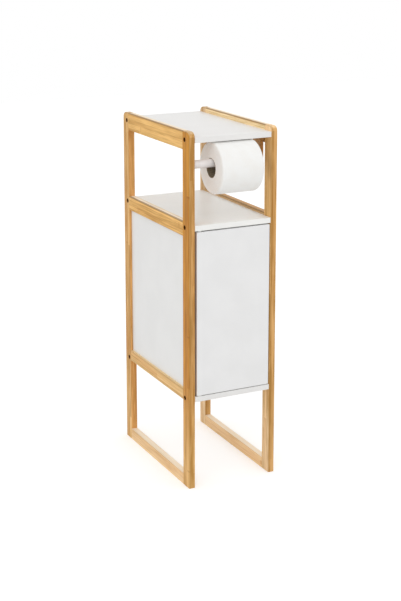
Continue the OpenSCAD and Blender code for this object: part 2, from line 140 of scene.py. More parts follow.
class ShaderTree:
    """The node tree of a material or a world, built up from short calls that return sockets."""

    usual_noise: tuple[float, float] = (0.3, 0.7)
    mix_colours: tuple[int, int, int] = (6, 7, 2)  # A Mix node's two colour inputs and its colour output.

    def __init__(self, owner: bpy.types.ID, shading: Shading = Shading.SURFACE) -> None:
        """Clear the tree of all but a shader and its output.

        Args:
            owner: The material or world.
            shading: Which of the two it is.
        """
        owner.use_nodes = True
        self.tree = owner.node_tree
        self.tree.nodes.clear()
        shader, output = shading.value
        self.shader = self.node(shader, {})
        self.node(output, {"Surface": self.shader.outputs[0]})

    def node(self, kind: str, inputs: dict[str | int, object], **settings: object) -> bpy.types.Node:
        """Add a node.

        Args:
            kind: The node's type, without its ShaderNode prefix.
            inputs: Values or sockets for its inputs, by name or number.
            settings: Properties of the node itself.

        Returns:
            The new node.
        """
        made = self.tree.nodes.new("ShaderNode" + kind)
        for key, setting in settings.items():
            setattr(made, key, setting)
        for key, given in inputs.items():
            self.feed(made.inputs[key], given)
        return made

    def feed(self, socket: Socket, given: object) -> None:
        """Link a socket into an input, or set the input to a plain value.

        Args:
            socket: The input.
            given: A socket, a number or a tuple of numbers.
        """
        if isinstance(given, Socket):
            self.tree.links.new(given, socket)
        elif isinstance(given, tuple) and len(given) == 3 and socket.type == "RGBA":
            socket.default_value = (*given, 1.0)
        else:
            socket.default_value = given

    def place(self, centre: Point = (0.0, 0.0, 0.0)) -> Socket:
        """Give the surface point in the object's own coordinates.

        Args:
            centre: The point that becomes the pattern's origin.

        Returns:
            A vector socket.
        """
        point = self.node("TexCoord", {}).outputs["Object"]
        shift = tuple(-part for part in centre)
        return self.node("Mapping", {"Vector": point, "Location": shift}).outputs["Vector"]

    def facing(self) -> tuple[Socket, Socket, Socket]:
        """Give the three parts of the surface's direction in the object's own coordinates."""
        return self.split(self.node("TexCoord", {}).outputs["Normal"])

    def split(self, vector: Socket) -> tuple[Socket, Socket, Socket]:
        """Split a vector or colour into its three parts."""
        parts = self.node("SeparateXYZ", {"Vector": vector}).outputs
        return parts[0], parts[1], parts[2]

    def join(self, x: Value, y: Value, z: Value) -> Socket:
        """Join three numbers into a vector."""
        return self.node("CombineXYZ", {0: x, 1: y, 2: z}).outputs[0]

    def span(self, x: Value, y: Value, z: Value) -> Socket:
        """Give the length of a vector with these three parts."""
        return self.node("VectorMath", {0: self.join(x, y, z)}, operation="LENGTH").outputs["Value"]

    def turn(self, y: Value, z: Value) -> Socket:
        """Give how far round the X axis a point lies, in turns."""
        return self.over(self.math("ARCTAN2", y, z), math.tau)

    def math(self, operation: str, *operands: Value) -> Socket:
        """Do one step of arithmetic on one to three operands."""
        return self.node("Math", dict(enumerate(operands)), operation=operation).outputs[0]

    def plus(self, first: Value, second: Value) -> Socket:
        """Add two numbers."""
        return self.math("ADD", first, second)

    def minus(self, first: Value, second: Value) -> Socket:
        """Take the second number from the first."""
        return self.math("SUBTRACT", first, second)

    def times(self, first: Value, second: Value) -> Socket:
        """Multiply two numbers."""
        return self.math("MULTIPLY", first, second)

    def over(self, first: Value, second: Value) -> Socket:
        """Divide the first number by the second."""
        return self.math("DIVIDE", first, second)

    def blend(self, share: Value, at_zero: object, at_one: object, **settings: object) -> Socket:
        """Mix two colours.

        Args:
            share: How much of the second goes in, from 0 to 1.
            at_zero: The first colour.
            at_one: The second colour.
            settings: Properties of the Mix node.

        Returns:
            The mixed colour.
        """
        first, second, result = self.mix_colours
        inputs = {"Factor": share, first: at_zero, second: at_one}
        return self.node("Mix", inputs, data_type="RGBA", **settings).outputs[result]

    def ease(self, given: Value, low: float, high: float, to_low: float = 0, to_high: float = 1) -> Socket:
        """Map a range smoothly onto another, and hold the ends.

        Args:
            given: The number to map.
            low: Where the range starts.
            high: Where it ends.
            to_low: The result at low and before it.
            to_high: The result at high and past it.

        Returns:
            The mapped number.
        """
        inputs = {"Value": given, "From Min": low, "From Max": high, "To Min": to_low, "To Max": to_high}
        return self.node("MapRange", inputs, interpolation_type="SMOOTHSTEP").outputs[0]

    def fall(self, given: Value, low: float, high: float, top: float = 1.0) -> Socket:
        """Fall smoothly from the top to 0 between two numbers."""
        return self.ease(given, low, high, top, 0.0)

    def spread(self, noise: Socket, to_low: float = 0.0, to_high: float = 1.0) -> Socket:
        """Map the range where most of a noise lies onto another."""
        return self.ease(noise, *self.usual_noise, to_low, to_high)

    def clouded(self, cloud: Socket, tone: Colour, darkest: float) -> Socket:
        """Let a tone drift, as a noise does, between itself and a darker share of itself."""
        return self.blend(self.spread(cloud), tuple(part * darkest for part in tone), tone)

    def noise(self, vector: Socket, scale: float, detail: float) -> Socket:
        """Give soft noise.

        Args:
            vector: Where to read it.
            scale: How many features lie in a metre.
            detail: How many finer layers it has.

        Returns:
            A number from 0 to 1.
        """
        return self.node("TexNoise", {"Vector": vector, "Scale": scale, "Detail": detail}).outputs[0]

    def chance(self, vector: Socket) -> tuple[Socket, Socket, Socket]:
        """Give three unrelated numbers from 0 to 1, the same for each equal vector."""
        return self.split(self.node("TexWhiteNoise", {"Vector": vector}).outputs["Color"])

    def seen_directly(self) -> Socket:
        """Tell what the camera sees from what only lights the object.

        Returns:
            1 where the camera, a reflection or clear glass looks, and 0 otherwise.
        """
        rays = self.node("LightPath", {}).outputs
        seen = self.math("MAXIMUM", rays["Is Camera Ray"], rays["Is Glossy Ray"])
        return self.math("MAXIMUM", seen, rays["Is Transmission Ray"])

    def bump(self, height: Socket, depth: float, strength: float) -> None:
        """Emboss the surface.

        Args:
            height: The relief, from 0 to 1.
            depth: How deep a step from 0 to 1 is, in metres.
            strength: How much of it shows.
        """
        made = self.node("Bump", {"Height": height, "Distance": depth, "Strength": strength})
        self.feed(self.shader.inputs["Normal"], made.outputs["Normal"])

    def feed_shader(self, inputs: dict[str, object]) -> None:
        """Feed the shader's inputs, by their titles."""
        for title, given in inputs.items():
            self.feed(self.shader.inputs[title], given)


# Finishes


@dataclass(frozen=True)
class Finish(ABC):
    """What a surface is made of. Each finish makes its material once, under its own name."""

    name: str

    def material(self) -> bpy.types.Material:
        """Give the finish's material, and make it at the first call.

        Returns:
            The one material with the finish's name.
        """
        title = self.name + "_finish"
        if title not in bpy.data.materials:
            self.paint(ShaderTree(bpy.data.materials.new(title)))
        return bpy.data.materials[title]

    @abstractmethod
    def paint(self, tree: ShaderTree) -> None:
        """Build the material in its fresh tree."""

    def dress(self, piece: Object) -> None:
        """Put the finish on a piece, in place of whatever it has.

        Args:
            piece: A mesh object with its final form.
        """
        if not piece.material_slots:
            piece.data.materials.append(None)
        for held in piece.material_slots:
            held.material = self.material()


class Tone(Enum):
    """The tones of bamboo strips, from the darkest to the palest."""

    # SHADE_UMBER is the painted shade along the routed edges.
    SHADE_UMBER = srgb(156, 116, 64)
    CARAMEL = srgb(192, 143, 87)
    AMBER = srgb(198, 134, 42)
    TOFFEE = srgb(208, 160, 98)
    RUSSET = srgb(220, 164, 98)
    OAT = srgb(216, 182, 136)
    HONEY = srgb(222, 176, 110)
    GOLD = srgb(231, 182, 106)
    WHEAT = srgb(233, 190, 126)
    STRAW = srgb(247, 209, 157)
    SAND = srgb(251, 222, 171)
    PEACH = srgb(255, 223, 179)
    CREAM = srgb(255, 238, 211)


@dataclass(frozen=True)
class WoodTones:
    """The tones of one wooden member.

    Its wide and narrow faces show different sides of the strips, and its upper faces take a paler tone that is
    painted light from above. The lower part of a member may have other tones, on all its faces or only on those
    that look to -X, and fades into them between two heights: paler low tones are painted light near the floor,
    and a darker one on the -X faces is painted shade under the top board. The lift makes all its strips
    paler, as painted light. The rim_highlight is the tone of its wide faces above the top board, a painted
    highlight.
    """

    wide: Tone
    narrow: Tone = Tone.CARAMEL
    upper: Tone = Tone.CREAM
    low_wide: Tone | None = None
    low_narrow: Tone | None = None
    fade_from: float = 0.3
    fade_to: float = 0.0
    low_shade_on_left: bool = False
    lift: float = 0.0
    rim_highlight: Tone | None = None


@dataclass(frozen=True)
class FrameOutline:
    """The outer outline of a side frame seen from its side: upright, with its two upper corners rounded."""

    front: float
    back: float
    height: float
    corner: float = 12 * MM

    def far(self, tree: ShaderTree, y: Socket, z: Socket) -> Socket:
        """Give how far a point lies inside the outline.

        Args:
            tree: The material's tree.
            y: The point's place along the depth.
            z: Its height.

        Returns:
            The distance from the outline, or from one of its round corners.
        """
        off_middle = tree.math("ABSOLUTE", tree.minus(y, (self.front + self.back) / 2))
        past_side = tree.plus(tree.minus(off_middle, (self.back - self.front) / 2), self.corner)
        past_top = tree.minus(z, self.height - self.corner)
        round_part = tree.span(tree.math("MAXIMUM", past_side, 0.0), tree.math("MAXIMUM", past_top, 0.0), 0.0)
        flat_part = tree.math("MINIMUM", tree.math("MAXIMUM", past_side, past_top), 0.0)
        return tree.minus(tree.minus(self.corner, round_part), flat_part)


@dataclass(frozen=True)
class Bamboo(Finish):
    """Bamboo glued up from strips, under a thin satin lacquer.

    A strip keeps one tone from end to end, with streaks along it, and a few strips show a darker node. Painted
    shade darkens the routed edges, and a disc of painted shade lies round each screw.
    """

    grain: Grain
    tones: WoodTones
    outline: FrameOutline
    sides: tuple[float, float]
    top: float
    edge_shade: float
    figure: float
    strip_wide: float = 7.5 * MM
    strip_deep: float = 10 * MM
    strip_length: float = 0.43
    strip_shift: float = 7.0
    cell_shift: float = 0.37
    glue_share: float = 0.02
    cool_range: tuple[Colour, Colour] = ((0.70, 0.66, 0.50), (1.26, 1.30, 1.46))
    warm_range: tuple[Colour, Colour] = ((0.76, 0.58, 0.38), (1.22, 1.28, 1.38))
    upper_highlight_calm: float = 0.6
    node_pitch: float = 0.31
    node_shift: float = 5.0
    node_share: float = 0.3
    node_sway: float = 0.012
    node_band: float = 0.016
    node_line: float = 0.005
    edge_spread: float = 0.6
    edge_play: float = 0.8 * MM
    edge_shade_from: float = 1.4 * MM
    edge_shade_to: float = 3.6 * MM
    far_side_slack: float = 5 * MM
    board_top: float = 0.788
    rim_highlight_fade: float = 6 * MM
    screw_depth: float | None = None
    screw_heights: tuple[float, ...] = (0.206, 0.591, 0.782)
    screw_reach: float = 5.2 * MM
    relief: float = 0.12 * MM

    def paint(self, tree: ShaderTree) -> None:
        """Lay the grain over the tones, then painted shade along the edges and round the screws, and the
        lacquer.

        Args:
            tree: The material's tree.
        """
        pattern = BambooPattern(self, tree)
        colour = tree.blend(1.0, pattern.face_tone(), pattern.grain_tint(), blend_type="MULTIPLY")
        # Painted shade: a dark umber line along the routed edges, then a dark disc round each screw.
        line = tree.times(pattern.edge_shade_mask(), self.edge_shade)
        colour = pattern.paint_screw_shade(tree.blend(line, colour, Tone.SHADE_UMBER.value))
        pores = tree.math("MULTIPLY_ADD", pattern.hair, 0.5, tree.times(pattern.fibre, 0.5))
        tree.bump(tree.math("MULTIPLY_ADD", pattern.glue, -0.6, pores), self.relief, 0.6)
        tree.feed_shader({
            "Base Color": colour,
            "Roughness": tree.spread(pattern.hair, 0.4, 0.54),
            "Specular IOR Level": 0.2,
            "Specular Tint": srgb(255, 226, 178),
            "Coat Weight": 0.03,
            "Coat Roughness": 0.3,
        })


class BambooPattern:
    """The nodes of one bamboo member: the strip that a surface point lies in, and all that shows there."""

    def __init__(self, wood: Bamboo, tree: ShaderTree) -> None:
        """Find the point, the way that the surface faces, the strip, and the noise that several marks share.

        Args:
            wood: The member's finish.
            tree: The material's tree.
        """
        self.wood = wood
        self.tree = tree
        self.x, self.y, self.z = tree.split(tree.place())
        upright = wood.grain is Grain.UPRIGHT
        self.along, self.across = (self.z, self.y) if upright else (self.y, self.z)
        self.look_x, _, look_z = tree.facing()
        self.sideways = tree.ease(tree.math("ABSOLUTE", self.look_x), 0.35, 0.85)
        self.upward = tree.ease(look_z, 0.45, 0.9)
        self.fibre = self.drawn_out(0.02, 1100, 3)
        self.hair = self.drawn_out(0.008, 3600, 2)
        deep_place = tree.plus(tree.over(self.across, wood.strip_deep), wood.cell_shift)
        self.wide_cell = tree.math("FLOOR", tree.over(self.x, wood.strip_wide))
        self.deep_cell = tree.math("FLOOR", deep_place)
        self.glue = tree.fall(tree.math("PINGPONG", deep_place, 0.5), 0.0, wood.glue_share)

    def drawn_out(self, squeeze: float, scale: float, detail: float) -> Socket:
        """Give noise that is drawn out along the grain.

        Args:
            squeeze: The share of the way along the grain that counts.
            scale: How many features lie in a metre across the grain.
            detail: How many finer layers it has.

        Returns:
            The noise, from 0 to 1.
        """
        place = self.tree.join(self.x, self.across, self.tree.times(self.along, squeeze))
        return self.tree.noise(place, scale, detail)

    def node_marks(self, offset: Socket, chance: Socket) -> tuple[Socket, Socket]:
        """Give the nodes where the cane had its joints, which a few strips show.

        Args:
            offset: The strip's own shift of its nodes.
            chance: The strip's own number, which says whether it shows them.

        Returns:
            The wide band and the thin line of a node.
        """
        tree, wood = self.tree, self.wood
        run = tree.plus(tree.over(self.along, wood.node_pitch), tree.times(offset, wood.node_shift))
        far = tree.math("ABSOLUTE", tree.minus(tree.math("FRACT", run), 0.5))
        far = tree.math("MULTIPLY_ADD", tree.minus(self.fibre, 0.5), wood.node_sway, far)
        seen = tree.math("LESS_THAN", chance, wood.node_share)
        band = tree.times(tree.fall(far, 0.0, wood.node_band), seen)
        return band, tree.times(tree.fall(far, 0.0, wood.node_line), seen)

    def grain_tint(self) -> Socket:
        """Give the grain: what the strips, their streaks and their nodes do to the tone of a face.

        Returns:
            A colour about white, to multiply the tone by.
        """
        tree, wood = self.tree, self.wood
        offset, node_offset, node_chance = tree.chance(tree.join(self.wide_cell, self.deep_cell, 0.5))
        run = tree.plus(tree.over(self.along, wood.strip_length), tree.times(offset, wood.strip_shift))
        strip = tree.join(self.wide_cell, self.deep_cell, tree.math("FLOOR", run))
        strip_tone, strip_warmth, _ = tree.chance(strip)
        node_band, node_line = self.node_marks(node_offset, node_chance)
        # What goes into the shade, with its middle and its weight.
        parts = (
            (strip_tone, 0.5, 0.6),
            (self.drawn_out(0.05, 150, 2), 0.5, 1.2),
            (self.drawn_out(0.04, 380, 3), 0.5, 1.6),
            (self.fibre, 0.5, 1.0),
            (self.hair, 0.5, 0.4),
            (self.drawn_out(0.35, 26, 2), 0.5, 0.9),
            (node_band, 0.0, -0.2),
            (node_line, 0.0, -0.3),
            (self.glue, 0.0, -0.1),
        )
        # The lift pales the strips, as painted light.
        shade: Value = 0.5 + wood.tones.lift
        for part, middle, weight in parts:
            shade = tree.plus(shade, tree.times(tree.minus(part, middle), weight * wood.figure))
        blush = tree.ease(self.drawn_out(0.12, 60, 2), 0.4, 0.7, 0.0, 0.6)
        warmth = tree.plus(tree.times(strip_warmth, 0.6), blush)
        tint = tree.blend(warmth, tree.blend(shade, *wood.cool_range), tree.blend(shade, *wood.warm_range))
        # Upward faces fade towards white with calmer grain: a painted highlight from above.
        return tree.blend(tree.times(self.upward, wood.upper_highlight_calm), tint, (1.0, 1.0, 1.0))

    def face_tone(self) -> Socket:
        """Give the tone of the face, which differs by the way it looks and by height, with painted light and
        shade in it.

        Returns:
            The colour before the grain.
        """
        tree, wood, tones = self.tree, self.wood, self.wood.tones
        # Low tones: the paler ones are painted light near the floor, and a darker one kept to the -X faces is
        # painted shade under the top board.
        low = tree.fall(self.z, tones.fade_to, tones.fade_from)
        if tones.low_shade_on_left:
            low = tree.times(low, tree.math("LESS_THAN", self.look_x, 0.0))
        wide = tree.blend(low, tones.wide.value, (tones.low_wide or tones.wide).value)
        # The rim_highlight: a painted highlight on the wide faces above the top board.
        if tones.rim_highlight:
            above = tree.ease(self.z, wood.board_top - wood.rim_highlight_fade, wood.board_top)
            wide = tree.blend(above, wide, tones.rim_highlight.value)
        narrow = tree.blend(low, tones.narrow.value, (tones.low_narrow or tones.narrow).value)
        # The paler upper tone on upward faces is painted light from above.
        return tree.blend(self.upward, tree.blend(self.sideways, narrow, wide), tones.upper.value)

    def edge_shade_mask(self) -> Socket:
        """Find where painted shade darkens the member's routed edges. Those at +X hardly count.

        Returns:
            1 on an edge, and 0 a little way from it.
        """
        tree, wood = self.tree, self.wood
        low, high = wood.sides
        from_high = tree.minus(high + wood.far_side_slack, self.x)
        beside = tree.math("MINIMUM", tree.minus(self.x, low), from_high)
        beyond = wood.outline.far(tree, self.y, self.z)
        if wood.grain is Grain.ALONG_DEPTH:
            beyond = tree.math("MINIMUM", beyond, tree.minus(wood.top, self.z))
        far = tree.math("MAXIMUM", tree.times(beside, wood.edge_spread), beyond)
        uneven = tree.math("MULTIPLY_ADD", tree.minus(self.fibre, 0.5), wood.edge_play, far)
        return tree.fall(uneven, wood.edge_shade_from, wood.edge_shade_to)

    def paint_screw_shade(self, colour: Socket) -> Socket:
        """Paint the shade of each screw's counterbore as a dark disc on the wood round it.

        Args:
            colour: The colour of the wood.

        Returns:
            The same colour with a disc of painted shade at each screw.
        """
        tree, wood = self.tree, self.wood
        heights = () if wood.screw_depth is None else wood.screw_heights
        for height in heights:
            far = tree.span(0.0, tree.minus(self.y, wood.screw_depth), tree.minus(self.z, height))
            # A disc of painted shade, for the shadow in the counterbore.
            screw_shade = tree.fall(far, wood.screw_reach * 0.96, wood.screw_reach * 1.06, 0.9)
            colour = tree.blend(screw_shade, colour, srgb(84, 46, 8))
        return colour


@dataclass(frozen=True)
class WhiteLacquer(Finish):
    """Sprayed satin lacquer over fibreboard: hardly any texture but the lacquer's own faint ripple."""

    tone: Colour
    ripple_pitch: float = 1.6 * MM
    roughness: float = 0.42

    def paint(self, tree: ShaderTree) -> None:
        """Build the cloudy tone, the ripple and a few specks of dust under the lacquer.

        Args:
            tree: The material's tree.
        """
        place = tree.place()
        cloud = tree.noise(place, 14, 3)
        speck = tree.ease(tree.noise(place, 420, 1), 0.76, 0.82, 0.0, 0.05)
        colour = tree.blend(speck, tree.clouded(cloud, self.tone, 0.965), srgb(190, 186, 178))
        tree.bump(tree.noise(place, 1 / self.ripple_pitch, 2), 0.02 * MM, 0.35)
        roughness = tree.spread(cloud, self.roughness - 0.04, self.roughness + 0.05)
        tree.feed_shader({"Base Color": colour, "Roughness": roughness})


@dataclass(frozen=True)
class Tissue(Finish):
    """Soft tissue paper wound on a roll: creped along the roll, and in layers on its ends."""

    tone: Colour
    shade: Colour
    axis_point: Point
    layer_pitch: float = 0.55 * MM
    sway: float = 1.2 * MM

    def paint(self, tree: ShaderTree) -> None:
        """Build the crepe, the fluff and the layers that show on the two ends, with painted shade in the gaps
        between them.

        Args:
            tree: The material's tree.
        """
        place = tree.place(self.axis_point)
        x, y, z = tree.split(place)
        radius = tree.span(0.0, y, z)
        turn = tree.turn(y, z)
        sway = tree.times(tree.noise(tree.join(y, z, 0.0), 60, 2), self.sway)
        wound = tree.plus(tree.over(tree.plus(radius, sway), self.layer_pitch), turn)
        layer = tree.math("PINGPONG", wound, 0.5)
        thick = tree.noise(tree.join(radius, 0.0, 0.0), 700, 2)
        end = tree.ease(tree.math("ABSOLUTE", tree.facing()[0]), 0.6, 0.98)
        crepe = tree.noise(tree.join(tree.times(x, 0.25), tree.times(turn, 0.36), radius), 2600, 2)
        fluff = tree.noise(place, 1500, 3)

        # Painted shade in the gaps between the paper's layers on the ends.
        layer_gap_shade = tree.times(tree.fall(layer, 0.02, 0.2, 0.22), end)
        bands = tree.times(tree.fall(thick, 0.35, 0.65, 0.12), end)
        wear = tree.ease(tree.noise(place, 45, 3), 0.35, 0.75, 0.0, 0.16)
        colour = tree.blend(tree.plus(tree.plus(layer_gap_shade, bands), wear), self.tone, self.shade)
        outside = tree.plus(tree.times(crepe, 0.6), tree.times(fluff, 0.4))
        relief = tree.math("MULTIPLY_ADD", tree.minus(layer, outside), end, outside)
        tree.bump(relief, 0.18 * MM, 0.5)
        tree.feed_shader({
            "Base Color": colour,
            "Roughness": 0.95,
            "Sheen Weight": 0.25,
            "Sheen Roughness": 0.6,
            "Specular IOR Level": 0.2,
        })


@dataclass(frozen=True)
class Cardboard(Finish):
    """Grey-brown board wound in a spiral, as in the core of a roll."""

    tone: Colour
    shade: Colour
    axis_point: Point
    spiral_pitch: float = 0.085

    def paint(self, tree: ShaderTree) -> None:
        """Build the pulp, its flecks and the seam that winds along the tube.

        Args:
            tree: The material's tree.
        """
        place = tree.place(self.axis_point)
        x, y, z = tree.split(place)
        wound = tree.math("FRACT", tree.plus(tree.over(x, self.spiral_pitch), tree.turn(y, z)))
        seam = tree.fall(tree.math("ABSOLUTE", tree.minus(wound, 0.5)), 0.0, 0.012, 0.5)
        step = tree.ease(wound, 0.495, 0.505)
        pulp = tree.noise(place, 420, 4)
        fleck = tree.ease(tree.noise(place, 1600, 2), 0.58, 0.75, 0.0, 0.35)
        colour = tree.blend(tree.spread(pulp), self.shade, self.tone)
        colour = tree.blend(fleck, colour, srgb(92, 78, 64))
        colour = tree.blend(seam, colour, srgb(84, 70, 56))
        tree.bump(tree.plus(tree.times(pulp, 0.3), step), 0.25 * MM, 0.7)
        tree.feed_shader({"Base Color": colour, "Roughness": 0.9, "Specular IOR Level": 0.25})


@dataclass(frozen=True)
class PlatedSteel(Finish):
    """Plated steel with faint drawing marks and a cloudy plating."""

    tone: Colour
    roughness: float = 0.34
    metallic: float = 1.0
    specular: float = 0.5
    marks_per_metre: float = 2400

    def paint(self, tree: ShaderTree) -> None:
        """Build the plating's clouds and the marks of drawing or turning.

        Args:
            tree: The material's tree.
        """
        place = tree.place()
        cloud = tree.noise(place, 260, 3)
        tree.bump(tree.noise(place, self.marks_per_metre, 2), 0.03 * MM, 0.4)
        tree.feed_shader({
            "Base Color": tree.clouded(cloud, self.tone, 0.78),
            "Roughness": tree.spread(cloud, self.roughness - 0.08, self.roughness + 0.1),
            "Metallic": self.metallic,
            "Specular IOR Level": self.specular,
        })


@dataclass(frozen=True)
class Moulded(Finish):
    """Moulded plastic, or satin paint, with a fine even grain."""

    tone: Colour
    roughness: float = 0.48
    grain_pitch: float = 0.5 * MM

    def paint(self, tree: ShaderTree) -> None:
        """Build the fine grain and a slight drift in tone.

        Args:
            tree: The material's tree.
        """
        place = tree.place()
        grain = tree.noise(place, 1 / self.grain_pitch, 2)
        tree.bump(grain, 0.03 * MM, 0.4)
        colour = tree.clouded(tree.noise(place, 55, 2), self.tone, 0.93)
        roughness = tree.spread(grain, self.roughness - 0.06, self.roughness + 0.06)
        tree.feed_shader({"Base Color": colour, "Roughness": roughness})


@dataclass(frozen=True)
class Beech(Finish):
    """Plain turned beech, as in the dowels inside the joints."""

    tone: Colour

    def paint(self, tree: ShaderTree) -> None:
        """Build straight fibres and short flecks along the depth.

        Args:
            tree: The material's tree.
        """
        x, y, z = tree.split(tree.place())
        fibre = tree.noise(tree.join(x, tree.times(y, 0.05), z), 1100, 3)
        flecks = tree.noise(tree.join(x, tree.times(y, 0.25), z), 1500, 1)
        fleck = tree.ease(flecks, 0.62, 0.7, 0.0, 0.3)
        tree.bump(fibre, 0.08 * MM, 0.5)
        colour = tree.blend(fleck, tree.clouded(fibre, self.tone, 0.7), srgb(120, 80, 50))
        tree.feed_shader({"Base Color": colour, "Roughness": 0.65})


# Modelling


@dataclass(frozen=True)
class EasedEdge:
    """The small round that sanding, spraying or moulding leaves along a piece's edges."""

    width: float
    segments: int = 2
    least_turn: float = math.radians(40)
    close_within: float = 0.002 * MM
    flat_within: float = math.radians(0.5)

    def ease(self, piece: Object) -> None:
        """Round the piece's edges with modifiers, which leave its own mesh as it is.

        Args:
            piece: A mesh object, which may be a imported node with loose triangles.
        """
        weld = piece.modifiers.new("close_corners", "WELD")
        weld.merge_threshold = self.close_within
        flats = piece.modifiers.new("join_flats", "DECIMATE")
        flats.decimate_type = "DISSOLVE"
        flats.angle_limit = self.flat_within
        bevel = piece.modifiers.new("ease_edges", "BEVEL")
        bevel.width = self.width
        bevel.segments = self.segments
        bevel.limit_method = "ANGLE"
        bevel.angle_limit = self.least_turn
        bevel.use_clamp_overlap = False
        shading = piece.modifiers.new("shade_evenly", "WEIGHTED_NORMAL")
        shading.keep_sharp = False


def deselect_everything() -> None:
    """Leave nothing selected, because an operator acts on all that is."""
    if bpy.context.object and bpy.context.object.mode != "OBJECT":
        bpy.ops.object.mode_set(mode="OBJECT")
    bpy.ops.object.select_all(action="DESELECT")


@contextmanager
def editing(piece: Object) -> Iterator[None]:
    """Open a piece in edit mode for the block, with nothing selected in it.

    Args:
        piece: The mesh object to edit.

    Yields:
        Nothing, once the piece is open.
    """
    deselect_everything()
    piece.select_set(True)
    bpy.context.view_layer.objects.active = piece
    bpy.ops.object.mode_set(mode="EDIT")
    bpy.ops.mesh.select_all(action="DESELECT")
    yield
    bpy.ops.object.mode_set(mode="OBJECT")


def pick_points(piece: Object, wanted: Callable[[Vector], bool]) -> None:
    """Select, in edit mode, the points that pass a test, and the edges and faces between them.

    Args:
        piece: The mesh object in edit mode.
        wanted: Says of a point's place whether it is to be selected.
    """
    bpy.ops.mesh.select_mode(type="VERT")
    mesh = bmesh.from_edit_mesh(piece.data)
    for point in mesh.verts:
        point.select_set(wanted(point.co))
    mesh.select_flush(True)
    bmesh.update_edit_mesh(piece.data)


def pick_all() -> None:
    """Select the whole mesh in edit mode."""
    bpy.ops.mesh.select_all(action="SELECT")


def face_outwards() -> None:
    """Select the whole mesh in edit mode and turn its faces outwards."""
    pick_all()
    bpy.ops.mesh.normals_make_consistent(inside=False)


def shade_round(piece: Object, sharp: float) -> None:
    """Shade a piece smooth, but for the edges that turn by more than an angle.

    Args:
        piece: The mesh object.
        sharp: The angle in degrees.
    """
    deselect_everything()
    piece.select_set(True)
    bpy.ops.object.shade_smooth_by_angle(angle=math.radians(sharp))


@dataclass
class WoundPaper:
    """The paper on a roll, modelled as a flat section that is spun about a line along X.

    The section is a plane from the inner to the outer radius. Its outer corners are rounded, its ends are
    divided into rings, and each ring is pushed in a little before the section is spun. The last sheet ends in
    a small step along the roll.
    """

    name: str
    start: float
    length: float
    centre: Vector
    inner: float
    outer: float
    corner: float = 5 * MM
    corner_steps: int = 8
    rings: int = 13
    ring_play: float = 0.25 * MM
    turn_steps: int = 144
    sheet_step: float = 0.5 * MM
    touch: float = 0.01 * MM
    seed: int = 11
    piece: Object = field(init=False)

    def make(self) -> Object:
        """Model the paper.

        Returns:
            The finished mesh object, closed and with its faces pointing outwards.
        """
        self.add_section()
        with editing(self.piece):
            self.round_corners()
            self.push_rings()
            self.spin()
            self.wind_in()
            self.close()
        shade_round(self.piece, 32)
        return self.piece

    def add_section(self) -> None:
        """Add the plane in which the section lies, with its origin at the frame's own."""
        deselect_everything()
        middle = (self.start + self.length / 2, self.centre.y, self.centre.z + (self.inner + self.outer) / 2)
        bpy.ops.mesh.primitive_plane_add(size=1, location=middle, rotation=(math.pi / 2, 0, 0))
        self.piece = bpy.context.object
        self.piece.name = self.piece.data.name = self.name
        self.piece.scale = (self.length, self.outer - self.inner, 1)
        bpy.ops.object.transform_apply(location=True, rotation=True, scale=True)

    def radius(self, place: Vector) -> float:
        """Give a point's distance from the roll's axis."""
        return math.hypot(place.y - self.centre.y, place.z - self.centre.z)

    def round_corners(self) -> None:
        """Round the section's two outer corners."""
        pick_points(self.piece, lambda place: self.radius(place) > self.outer - self.touch)
        bpy.ops.mesh.bevel(offset=self.corner, segments=self.corner_steps, affect="VERTICES")

    def push_rings(self) -> None:
        """Cut both ends of the section into rings, and push each ring in by its own small way."""
        ends = (self.start, self.start + self.length)
        pick_points(self.piece, lambda place: min(abs(place.x - end) for end in ends) < self.touch)
        bpy.ops.mesh.subdivide(number_cuts=self.rings - 1)
        play = random.Random(self.seed)
        for end, inwards in zip(ends, (1, -1)):
            for ring in range(1, self.rings):
                far = self.inner + (self.outer - self.corner - self.inner) * ring / self.rings
                push = inwards * play.uniform(0.0, self.ring_play)
                pick_points(self.piece, lambda place: self.on_ring(place, end, far))
                bpy.ops.transform.translate(value=(push, 0, 0))

    def on_ring(self, place: Vector, end: float, far: float) -> bool:
        """Say whether a point lies on the ring of one end at one radius."""
        return abs(self.radius(place) - far) < 10 * self.touch and abs(place.x - end) < self.touch

    def spin(self) -> None:
        """Spin the section's outline about the roll's axis."""
        pick_all()
        bpy.ops.mesh.delete(type="ONLY_FACE")
        pick_all()
        bpy.ops.mesh.spin(
            steps=self.turn_steps, angle=math.tau, center=self.centre, axis=(1, 0, 0), use_auto_merge=False
        )

    def wind_in(self) -> None:
        """Draw the outer surface in along the turn, so that its end lies under its start."""
        mesh = bmesh.from_edit_mesh(self.piece.data)
        for point in mesh.verts:
            share = (self.radius(point.co) - self.outer + self.corner) / self.corner
            if share <= 0:
                continue
            out = Vector((0, point.co.y - self.centre.y, point.co.z - self.centre.z))
            turn = 1.0 if point.select else math.atan2(out.y, out.z) % math.tau / math.tau
            point.co -= out.normalized() * self.sheet_step * turn * share
        bmesh.update_edit_mesh(self.piece.data)

    def close(self) -> None:
        """Merge the first turn with the last, and fill whatever is left open."""
        pick_all()
        bpy.ops.mesh.remove_doubles(threshold=self.touch / 2)
        bpy.ops.mesh.select_all(action="DESELECT")
        bpy.ops.mesh.select_non_manifold()
        if any(edge.select for edge in bmesh.from_edit_mesh(self.piece.data).edges):
            bpy.ops.mesh.edge_face_add()
        face_outwards()


